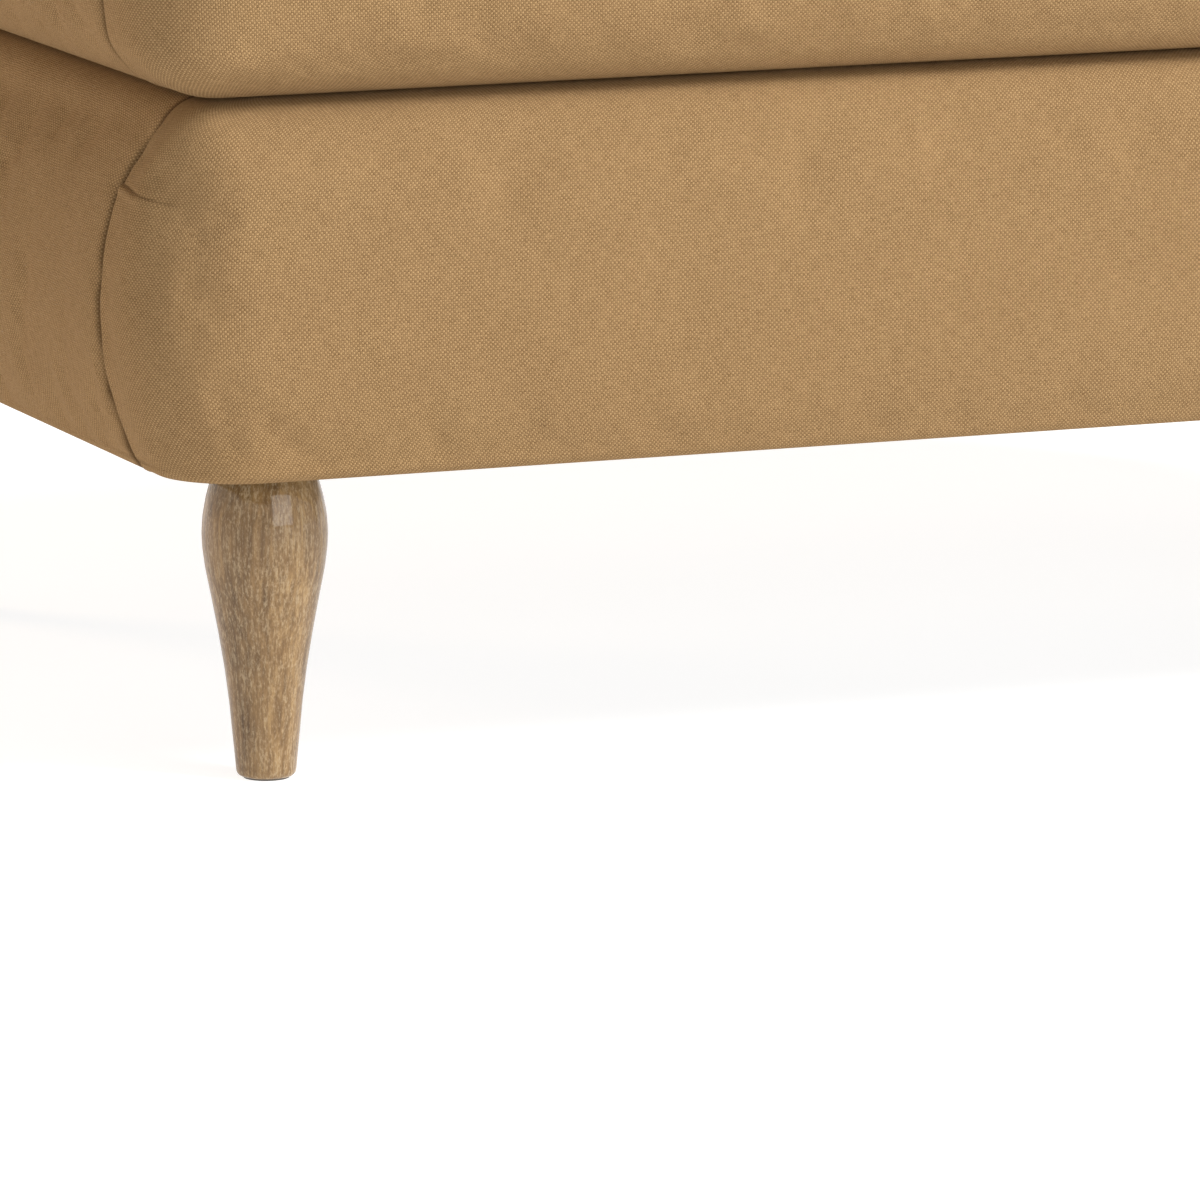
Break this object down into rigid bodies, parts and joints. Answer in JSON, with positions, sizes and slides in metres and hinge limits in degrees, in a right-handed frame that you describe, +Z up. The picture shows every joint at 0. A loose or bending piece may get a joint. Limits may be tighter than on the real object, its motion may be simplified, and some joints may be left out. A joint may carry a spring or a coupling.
{
  "type": "storage ottoman",
  "caption": "Rectangular upholstered storage ottoman in woven cloth on short turned wooden legs, with a padded lid on rear hinges, held by folding stays.",
  "frame": {"origin": "on the floor at the middle of the footprint", "axes": "+Z up, X along the width, the front faces -Y, the lid hinges are at the back, +Y"},
  "size_m": [0.968, 0.616, 0.445],
  "materials": {
    "cover": "woven camel cloth",
    "oak": "limed oak, clear lacquer",
    "carcass": "birch plywood",
    "batten": "planed softwood",
    "foam": "polyurethane foam",
    "lining": "non-woven lining",
    "screws": "zinc plated",
    "steel": "satin",
    "glide": "matte"
  },
  "bodies": {
    "base": {"front_board": "carcass", "back_board": "carcass", "left_board": "carcass", "right_board": "carcass", "floor_board": "carcass", "front_cleat": "batten", "back_cleat": "batten", "left_cleat": "batten", "right_cleat": "batten", "corner_blocks": "batten", "hinge_rail": "batten", "frame_screws": "screws", "front_foam": "foam", "back_foam": "foam", "left_foam": "foam", "right_foam": "foam", "front_cover": "cover", "back_cover": "cover", "left_end_cover": "cover", "right_end_cover": "cover", "storage_lining": "lining", "dust_cover": "lining", "front_left_leg": "oak", "front_right_leg": "oak", "back_left_leg": "oak", "back_right_leg": "oak", "leg_bolts": "screws", "tee_nuts": "screws", "foot_glides": "glide", "hinge_base_leaves": "steel", "hinge_pins": "steel", "hinge_base_screws": "screws", "stay_base_brackets": "steel", "base_bracket_screws": "screws", "base_rivets": "steel"},
    "lid": {"lid_board": "carcass", "lid_foam": "foam", "lid_top_cover": "cover", "lid_front_band": "cover", "lid_back_band": "cover", "lid_left_band": "cover", "lid_right_band": "cover", "lid_lining": "lining", "hinge_lid_leaves": "steel", "hinge_lid_screws": "screws", "stay_lid_brackets": "steel", "lid_bracket_screws": "screws", "lid_rivets": "steel"},
    "left_lower_link": {"left_lower_arm": "steel", "left_elbow_rivet": "steel"},
    "right_lower_link": {"right_lower_arm": "steel", "right_elbow_rivet": "steel"},
    "left_upper_link": {"left_upper_arm": "steel"},
    "right_upper_link": {"right_upper_arm": "steel"}
  },
  "joints": [
    {"name": "lid_hinge", "type": "hinge", "parent": "base", "child": "lid", "pos_m": [0, 0.2915, 0.33025], "axis": [-1, 0, 0], "range_deg": [0, 85]},
    {"name": "left_base_pivot", "type": "hinge", "parent": "base", "child": "left_lower_link", "pos_m": [-0.4359, 0.2455, 0.22025], "axis": [-1, 0, 0], "range_deg": [0, 85]},
    {"name": "right_base_pivot", "type": "hinge", "parent": "base", "child": "right_lower_link", "pos_m": [0.4359, 0.2455, 0.22025], "axis": [-1, 0, 0], "range_deg": [0, 85]},
    {"name": "left_lid_pivot", "type": "hinge", "parent": "lid", "child": "left_upper_link", "pos_m": [-0.4328, 0.0865, 0.31625], "axis": [-1, 0, 0], "range_deg": [-85, 0]},
    {"name": "right_lid_pivot", "type": "hinge", "parent": "lid", "child": "right_upper_link", "pos_m": [0.4328, 0.0865, 0.31625], "axis": [-1, 0, 0], "range_deg": [-85, 0]}
  ],
  "couplings": [
    {"joint": "left_base_pivot", "follows": "lid_hinge", "ratio": 1},
    {"joint": "right_base_pivot", "follows": "lid_hinge", "ratio": 1},
    {"joint": "left_lid_pivot", "follows": "lid_hinge", "ratio": -1},
    {"joint": "right_lid_pivot", "follows": "lid_hinge", "ratio": -1}
  ]
}
